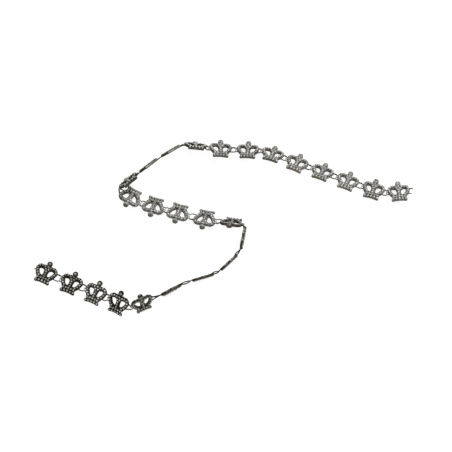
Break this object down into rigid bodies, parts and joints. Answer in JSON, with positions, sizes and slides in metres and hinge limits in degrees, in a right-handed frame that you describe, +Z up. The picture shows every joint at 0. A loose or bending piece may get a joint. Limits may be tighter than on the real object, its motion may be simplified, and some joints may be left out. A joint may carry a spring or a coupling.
{
  "type": "rhinestone crown chain",
  "caption": "Length of rhinestone trim: openwork cast crown motifs set with clear stones, each hung on the next by a wire loop that turns in a lug, laid in an open Z.",
  "frame": {"origin": "on the table, under the middle of the box round the chain as it lies", "axes": "+X to the picture's right along the longest reach of the laid chain, +Y away from the viewer, +Z up from the table"},
  "size_m": [0.3076, 0.1572, 0.0203],
  "materials": {
    "silver_casting": "bright silver plating over a cast base, tarnished dark in the recesses",
    "clear_stones": "faceted clear crystal with a foiled back"
  },
  "bodies": {
    "link_01": {"crown_01": "silver_casting", "stones_01": "clear_stones"},
    "link_02": {"crown_02": "silver_casting", "stones_02": "clear_stones"},
    "link_03": {"crown_03": "silver_casting", "stones_03": "clear_stones"},
    "link_04": {"crown_04": "silver_casting", "stones_04": "clear_stones"},
    "link_05": {"crown_05": "silver_casting", "stones_05": "clear_stones"},
    "link_06": {"crown_06": "silver_casting", "stones_06": "clear_stones"},
    "link_07": {"crown_07": "silver_casting", "stones_07": "clear_stones"},
    "link_08": {"crown_08": "silver_casting", "stones_08": "clear_stones"},
    "link_09": {"crown_09": "silver_casting", "stones_09": "clear_stones"},
    "link_10": {"crown_10": "silver_casting", "stones_10": "clear_stones"},
    "link_11": {"crown_11": "silver_casting", "stones_11": "clear_stones"},
    "link_12": {"crown_12": "silver_casting", "stones_12": "clear_stones"},
    "link_13": {"crown_13": "silver_casting", "stones_13": "clear_stones"},
    "link_14": {"crown_14": "silver_casting", "stones_14": "clear_stones"},
    "link_15": {"crown_15": "silver_casting", "stones_15": "clear_stones"},
    "link_16": {"crown_16": "silver_casting", "stones_16": "clear_stones"},
    "link_17": {"crown_17": "silver_casting", "stones_17": "clear_stones"},
    "link_18": {"crown_18": "silver_casting", "stones_18": "clear_stones"},
    "link_19": {"crown_19": "silver_casting", "stones_19": "clear_stones"},
    "link_20": {"crown_20": "silver_casting", "stones_20": "clear_stones"},
    "link_21": {"crown_21": "silver_casting", "stones_21": "clear_stones"},
    "link_22": {"crown_22": "silver_casting", "stones_22": "clear_stones"},
    "link_23": {"crown_23": "silver_casting", "stones_23": "clear_stones"},
    "link_24": {"crown_24": "silver_casting", "stones_24": "clear_stones"},
    "link_25": {"crown_25": "silver_casting", "stones_25": "clear_stones"},
    "link_26": {"crown_26": "silver_casting", "stones_26": "clear_stones"}
  },
  "joints": [
    {"name": "loop_01_02", "type": "hinge", "parent": "link_02", "child": "link_01", "pos_m": [0.13213, 0.03021, 0.00317], "axis": [-0.0609, 0.964, -0.2587], "range_deg": [-30, 45]},
    {"name": "loop_02_03", "type": "hinge", "parent": "link_03", "child": "link_02", "pos_m": [0.11195, 0.03615, 0.00302], "axis": [-0.2836, -0.9361, 0.2079], "range_deg": [-45, 45]},
    {"name": "loop_03_04", "type": "hinge", "parent": "link_04", "child": "link_03", "pos_m": [0.09128, 0.0438, 0.00432], "axis": [0.3218, 0.895, -0.3088], "range_deg": [-45, 45]},
    {"name": "loop_04_05", "type": "hinge", "parent": "link_05", "child": "link_04", "pos_m": [0.07074, 0.05187, 0.00465], "axis": [-0.3385, -0.8632, 0.3746], "range_deg": [-45, 45]},
    {"name": "loop_05_06", "type": "hinge", "parent": "link_06", "child": "link_05", "pos_m": [0.05036, 0.0603, 0.00433], "axis": [0.3551, 0.8763, -0.3255], "range_deg": [-45, 45]},
    {"name": "loop_06_07", "type": "hinge", "parent": "link_07", "child": "link_06", "pos_m": [0.03012, 0.06674, 0.00573], "axis": [-0.2584, -0.8443, 0.4694], "range_deg": [-45, 45]},
    {"name": "loop_07_08", "type": "hinge", "parent": "link_08", "child": "link_07", "pos_m": [0.0096, 0.06808, 0.00459], "axis": [0.0635, 0.9183, -0.3907], "range_deg": [-45, 45]},
    {"name": "loop_08_09", "type": "hinge", "parent": "link_09", "child": "link_08", "pos_m": [-0.01269, 0.06908, 0.00564], "axis": [-0.0062, -0.9211, 0.3893], "range_deg": [-45, 45]},
    {"name": "loop_09_10", "type": "hinge", "parent": "link_10", "child": "link_09", "pos_m": [-0.03307, 0.07032, 0.0097], "axis": [-0.0571, 0.6475, -0.7599], "range_deg": [-45, 45]},
    {"name": "loop_10_11", "type": "hinge", "parent": "link_11", "child": "link_10", "pos_m": [-0.05113, 0.05914, 0.01043], "axis": [0.2247, -0.2814, 0.9329], "range_deg": [-45, 45]},
    {"name": "loop_11_12", "type": "hinge", "parent": "link_12", "child": "link_11", "pos_m": [-0.06872, 0.0453, 0.00995], "axis": [-0.1866, 0.2676, -0.9453], "range_deg": [-45, 45]},
    {"name": "loop_12_13", "type": "hinge", "parent": "link_13", "child": "link_12", "pos_m": [-0.08492, 0.03174, 0.00739], "axis": [0.2556, -0.5155, 0.8179], "range_deg": [-8, 45]},
    {"name": "loop_13_14", "type": "hinge", "parent": "link_13", "child": "link_14", "pos_m": [-0.06745, 0.02113, 0.00236], "axis": [-0.4236, -0.8737, 0.2392], "range_deg": [-45, 45]},
    {"name": "loop_14_15", "type": "hinge", "parent": "link_14", "child": "link_15", "pos_m": [-0.04775, 0.01522, 0.00267], "axis": [0.277, 0.9381, -0.2079], "range_deg": [-45, 45]},
    {"name": "loop_15_16", "type": "hinge", "parent": "link_15", "child": "link_16", "pos_m": [-0.02786, 0.00932, 0.00302], "axis": [-0.2791, -0.9335, 0.2249], "range_deg": [-45, 45]},
    {"name": "loop_16_17", "type": "hinge", "parent": "link_16", "child": "link_17", "pos_m": [-0.00604, 0.00401, 0.00468], "axis": [0.25, 0.9334, -0.2576], "range_deg": [-45, 45]},
    {"name": "loop_17_18", "type": "hinge", "parent": "link_17", "child": "link_18", "pos_m": [0.01573, -0.00103, 0.00936], "axis": [-0.2554, -0.6667, 0.7002], "range_deg": [-45, 45]},
    {"name": "loop_18_19", "type": "hinge", "parent": "link_18", "child": "link_19", "pos_m": [0.01313, -0.02232, 0.01018], "axis": [-0.0424, -0.0353, -0.9985], "range_deg": [-45, 40]},
    {"name": "loop_19_20", "type": "hinge", "parent": "link_19", "child": "link_20", "pos_m": [-0.00374, -0.04129, 0.00928], "axis": [0.187, -0.2027, 0.9612], "range_deg": [-40, 45]},
    {"name": "loop_20_21", "type": "hinge", "parent": "link_20", "child": "link_21", "pos_m": [-0.02666, -0.04987, 0.00906], "axis": [-0.1152, 0.3565, -0.9272], "range_deg": [-45, 45]},
    {"name": "loop_21_22", "type": "hinge", "parent": "link_21", "child": "link_22", "pos_m": [-0.05136, -0.06291, 0.00934], "axis": [0.1471, -0.2527, 0.9563], "range_deg": [-45, 45]},
    {"name": "loop_22_23", "type": "hinge", "parent": "link_22", "child": "link_23", "pos_m": [-0.07453, -0.07353, 0.00902], "axis": [0.1736, -0.261, -0.9496], "range_deg": [-45, 28]},
    {"name": "loop_23_24", "type": "hinge", "parent": "link_23", "child": "link_24", "pos_m": [-0.09326, -0.06347, 0.006], "axis": [0.3085, 0.7073, 0.636], "range_deg": [-45, 45]},
    {"name": "loop_24_25", "type": "hinge", "parent": "link_24", "child": "link_25", "pos_m": [-0.11192, -0.05371, 0.00243], "axis": [-0.4194, -0.8755, -0.2398], "range_deg": [-45, 45]},
    {"name": "loop_25_26", "type": "hinge", "parent": "link_25", "child": "link_26", "pos_m": [-0.13201, -0.04469, 0.00078], "axis": [0.4059, 0.9138, 0.0174], "range_deg": [-45, 45]}
  ]
}
